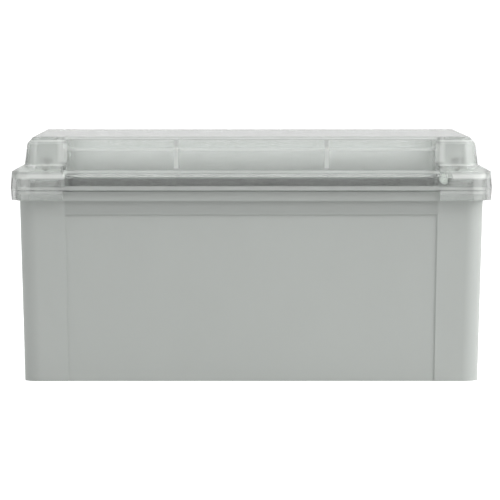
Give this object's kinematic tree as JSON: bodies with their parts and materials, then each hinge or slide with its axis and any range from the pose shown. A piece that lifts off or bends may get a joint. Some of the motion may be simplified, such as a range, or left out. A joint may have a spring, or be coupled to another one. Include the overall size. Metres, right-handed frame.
{
  "type": "junction box",
  "caption": "Rectangular wall-mounted junction box with a grey moulded base, a high clear lid on captive corner screws, a foam seal and rail terminals inside.",
  "frame": {"origin": "centre of the back face that goes against the wall, at the level of that face", "axes": "+Z from the back face towards the lid, +X along the long side, front at -Y"},
  "size_m": [0.341, 0.291, 0.1727],
  "materials": {
    "base_plastic": "fine satin moulded, light grey",
    "clear_plastic": "clear, polished, faint grey tint",
    "foam": "fine open poured foam, grey",
    "screw_plastic": "satin, mid grey",
    "retainer_plastic": "satin, natural white",
    "brass": "turned",
    "zinc_steel": "galvanised sheet",
    "screw_steel": "zinc plated",
    "terminal_grey": "satin moulded, grey",
    "earth_green": "satin moulded, green"
  },
  "bodies": {
    "base": {"base_shell": "base_plastic", "pillar_inserts": "brass", "mounting_plate": "zinc_steel", "plate_screws": "zinc_steel", "din_rail": "zinc_steel", "rail_screws": "zinc_steel", "terminal_01": "terminal_grey", "terminal_02": "terminal_grey", "terminal_03": "terminal_grey", "terminal_04": "terminal_grey", "terminal_05": "terminal_grey", "terminal_06": "terminal_grey", "terminal_07": "terminal_grey", "terminal_08": "terminal_grey", "terminal_09": "terminal_grey", "terminal_10": "terminal_grey", "earth_terminal": "earth_green", "end_plate": "terminal_grey", "end_bracket_left": "terminal_grey", "end_bracket_right": "terminal_grey", "terminal_screws": "screw_steel", "bracket_screws": "screw_steel"},
    "cover": {"lid": "clear_plastic", "gasket": "foam"},
    "retainer_front_left": {"screw_retainer_front_left": "retainer_plastic"},
    "screw_front_left": {"cover_screw_front_left": "screw_plastic"},
    "retainer_front_right": {"screw_retainer_front_right": "retainer_plastic"},
    "screw_front_right": {"cover_screw_front_right": "screw_plastic"},
    "retainer_rear_left": {"screw_retainer_rear_left": "retainer_plastic"},
    "screw_rear_left": {"cover_screw_rear_left": "screw_plastic"},
    "retainer_rear_right": {"screw_retainer_rear_right": "retainer_plastic"},
    "screw_rear_right": {"cover_screw_rear_right": "screw_plastic"}
  },
  "joints": [
    {"name": "lid_lift", "type": "slide", "parent": "base", "child": "cover", "axis": [0, 0, 1], "range_m": [0, 0.08]},
    {"name": "screw_rise_front_left", "type": "slide", "parent": "cover", "child": "retainer_front_left", "axis": [0, 0, 1], "range_m": [0, 0.0075]},
    {"name": "screw_turn_front_left", "type": "hinge", "parent": "retainer_front_left", "child": "screw_front_left", "pos_m": [-0.1454, -0.1204, 0.15], "axis": [0, 0, 1], "range_deg": [0, 1351]},
    {"name": "screw_rise_front_right", "type": "slide", "parent": "cover", "child": "retainer_front_right", "axis": [0, 0, 1], "range_m": [0, 0.0075]},
    {"name": "screw_turn_front_right", "type": "hinge", "parent": "retainer_front_right", "child": "screw_front_right", "pos_m": [0.1454, -0.1204, 0.15], "axis": [0, 0, 1], "range_deg": [0, 1351]},
    {"name": "screw_rise_rear_left", "type": "slide", "parent": "cover", "child": "retainer_rear_left", "axis": [0, 0, 1], "range_m": [0, 0.0075]},
    {"name": "screw_turn_rear_left", "type": "hinge", "parent": "retainer_rear_left", "child": "screw_rear_left", "pos_m": [-0.1454, 0.1204, 0.15], "axis": [0, 0, 1], "range_deg": [0, 1351]},
    {"name": "screw_rise_rear_right", "type": "slide", "parent": "cover", "child": "retainer_rear_right", "axis": [0, 0, 1], "range_m": [0, 0.0075]},
    {"name": "screw_turn_rear_right", "type": "hinge", "parent": "retainer_rear_right", "child": "screw_rear_right", "pos_m": [0.1454, 0.1204, 0.15], "axis": [0, 0, 1], "range_deg": [0, 1351]}
  ],
  "couplings": [
    {"joint": "screw_turn_front_left", "follows": "screw_rise_front_left", "rad_per_m": 3141.6},
    {"joint": "screw_turn_front_right", "follows": "screw_rise_front_right", "rad_per_m": 3141.6},
    {"joint": "screw_turn_rear_left", "follows": "screw_rise_rear_left", "rad_per_m": 3141.6},
    {"joint": "screw_turn_rear_right", "follows": "screw_rise_rear_right", "rad_per_m": 3141.6}
  ]
}
